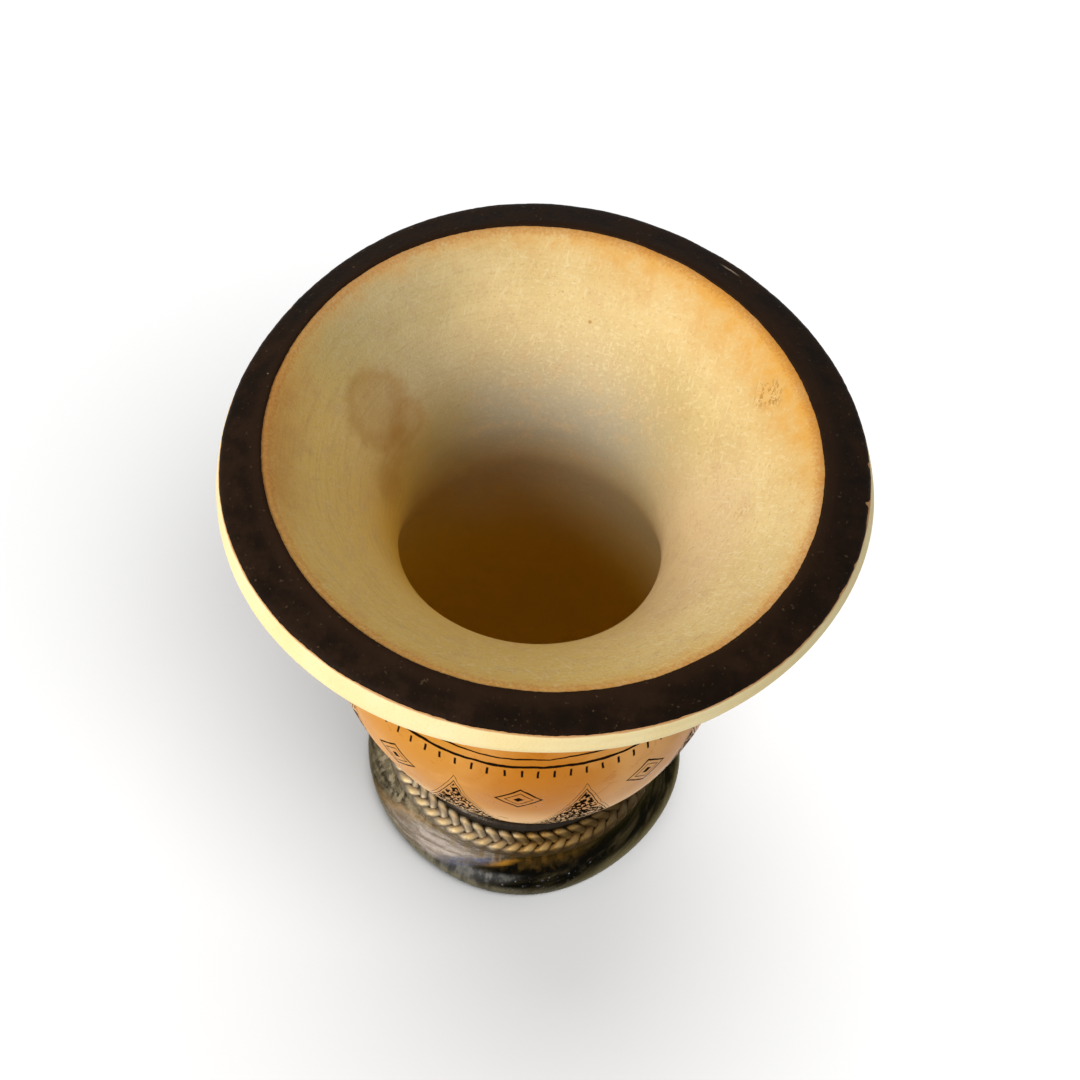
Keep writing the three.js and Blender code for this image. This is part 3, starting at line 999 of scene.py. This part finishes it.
def onShoulder(across, raised):
    # radius and height of a place that far across the plait and that far above the shoulder
    radius = plait["middle"] + across * math.cos(plaitLean) + raised * math.sin(plaitLean)
    return radius, plaitSeat - across * math.sin(plaitLean) + raised * math.cos(plaitLean)


def plaitCable():
    # the strands as round cords along one curve each
    cable = bpy.data.curves.new("plait", "CURVE")
    cable.dimensions = "3D"
    cable.bevel_depth = plait["strand"]
    cable.bevel_resolution = 2
    count = plait["crossings"] * plait["pointsEach"]
    for strand in range(plait["strands"]):
        line = cable.splines.new("POLY")
        line.points.add(count - 1)
        line.use_cyclic_u = True
        for index, point in enumerate(line.points):
            angle = fullTurn * index / count
            sway = fullTurn * strand / plait["strands"] - angle * plait["crossings"]
            raised = plait["standOff"] + plait["depth"] / plait["flatten"] * math.sin(2 * sway)
            radius, height = onShoulder(plait["reach"] * math.sin(sway), raised)
            point.co = (radius * math.cos(angle), radius * math.sin(angle), height, 1)
    return cable


def makePlait():
    holder = bpy.data.objects.new("plaitCable", plaitCable())
    scene.collection.objects.link(holder)
    bpy.context.view_layer.update()
    solid = bpy.data.meshes.new_from_object(holder.evaluated_get(bpy.context.evaluated_depsgraph_get()))
    bpy.data.objects.remove(holder)
    bm = bmesh.new()
    bm.from_mesh(solid)
    bpy.data.meshes.remove(solid)
    for vert in bm.verts:                       # press the round strands flat against the shoulder
        radius = math.hypot(vert.co.x, vert.co.y)
        outward, upward = radius - plait["middle"], vert.co.z - plaitSeat
        raised = outward * math.sin(plaitLean) + upward * math.cos(plaitLean)
        sunk = (plait["standOff"] - raised) * (1 - plait["flatten"])
        vert.co.z += sunk * math.cos(plaitLean)
        pressed = 1 + sunk * math.sin(plaitLean) / radius
        vert.co.x *= pressed
        vert.co.y *= pressed
    cleanUp(bm)
    addPiece("plait", bm, (makeBrass(),), "plait_brass", "plait_ring")


makePlait()


# Plaster inside the foot keeps its CAD shape

plaster = {"shade": (186, 178, 164), "light": (212, 206, 194), "pores": 0.0012, "roughness": 0.9}


def makePlaster():
    finish, shader = newMaterial("castPlaster")
    pores = cloud(places().all, plaster["pores"], 5, 0.6)
    plug(shader.inputs["Base Color"], blend(pores, plaster["shade"], plaster["light"]))
    shader.inputs["Roughness"].default_value = plaster["roughness"]
    bumps(shader, pores, 0.3, 0.0004)
    return finish


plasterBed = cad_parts["cement_bed"]
plasterBed.material_slots[0].material = makePlaster()
pieces.append(plasterBed)
print("plaster has its finish")


# Floor, light and camera

studio = {
    "floor": 1.6, "floorSeen": (0.335, 0.44), "floorNear": (0.12, 0.30), "floorFar": (0.36, 0.60),
    "floorBounce": 0.26, "floorRoughness": 0.9, "ambient": 0.40, "aim": 0.6,
    "key": {"place": (-0.50, -0.44, 0.50), "size": 0.50, "power": 5.0},
    "floorRight": {"place": (0.131, -0.188, 0.567), "size": 0.29, "power": 6.6},
    "floorBack": {"place": (-0.118, 0.448, 1.134), "size": 1.07, "power": 25.0},
}
shot = {
    "distance": 0.19492, "elevation": 54.193, "turn": 0.063, "tilt": -4.234, "roll": 4.276,
    "lens": 47.146, "sensor": 36, "nearest": 0.01,
}


def seenDirectly():
    path = addNode("LightPath", {})
    seen = maths("MAXIMUM", path.outputs["Is Camera Ray"], path.outputs["Is Glossy Ray"])
    return maths("MAXIMUM", seen, path.outputs["Is Transmission Ray"])


def makeFloor():
    bm = bmesh.new()
    bmesh.ops.create_circle(bm, cap_ends=True, radius=studio["floor"], segments=96)
    mesh = bpy.data.meshes.new("floor")
    bm.to_mesh(mesh)
    bm.free()
    finish, shader = newMaterial("paleFloor")
    radius = places().radius
    direct = seenDirectly()
    seen = both(fade(radius, *studio["floorNear"], *studio["floorSeen"]),
                fade(radius, *studio["floorFar"], 1, 0))
    plug(shader.inputs["Base Color"], fade(direct, 0, 1, studio["floorBounce"], seen))
    plug(shader.inputs["Emission Strength"], both(direct, fade(radius, *studio["floorFar"])))
    shader.inputs["Emission Color"].default_value = (1, 1, 1, 1)
    shader.inputs["Roughness"].default_value = studio["floorRoughness"]
    shader.inputs["Specular IOR Level"].default_value = 0.0
    mesh.materials.append(finish)
    floor = bpy.data.objects.new("floor", mesh)
    scene.collection.objects.link(floor)
    return floor


def makeWorld():
    world = bpy.data.worlds.new("studioWorld")
    background = startNodes(world)["Background"]
    background.inputs["Color"].default_value = (1, 1, 1, 1)
    plug(background.inputs["Strength"], fade(seenDirectly(), 0, 1, studio["ambient"], 1.0))
    scene.world = world


def addLamp(name, targets):
    lamp = bpy.data.lights.new(name, "AREA")
    lamp.shape = "DISK"
    lamp.size = studio[name]["size"]
    lamp.energy = studio[name]["power"]
    holder = bpy.data.objects.new(name, lamp)
    holder.location = studio[name]["place"]
    aim = Vector((0, 0, cadHigh.z * studio["aim"])) - holder.location
    holder.rotation_euler = aim.to_track_quat("-Z", "Y").to_euler()
    scene.collection.objects.link(holder)
    lit = bpy.data.collections.new(name + "Lights")
    for target in targets:
        lit.objects.link(target)
    holder.light_linking.receiver_collection = lit


def placeCamera():
    up, turn, tilt, roll = (math.radians(shot[name]) for name in ("elevation", "turn", "tilt", "roll"))
    forward = Vector((0, math.cos(up), -math.sin(up)))
    eye = Vector((0, 0, cadHigh.z)) - forward * shot["distance"]
    across = Vector((1, 0, 0))
    above = across.cross(forward)
    forward += across * math.tan(turn) + above * math.tan(tilt)
    forward.normalize()
    across = forward.cross(above).normalized()
    above = across.cross(forward)
    look = Matrix((across, above, -forward)).transposed() @ Matrix.Rotation(roll, 3, "Z")
    lens = bpy.data.cameras.new("camera")
    lens.lens = shot["lens"]
    lens.sensor_width = shot["sensor"]
    lens.clip_start = shot["nearest"]
    camera = bpy.data.objects.new("camera", lens)
    camera.matrix_world = Matrix.Translation(eye) @ look.to_4x4()
    scene.collection.objects.link(camera)
    scene.camera = camera


floor = makeFloor()
makeWorld()
addLamp("key", pieces)
addLamp("floorRight", [floor])
addLamp("floorBack", [floor])
placeCamera()
print("floor, lamps and camera placed")
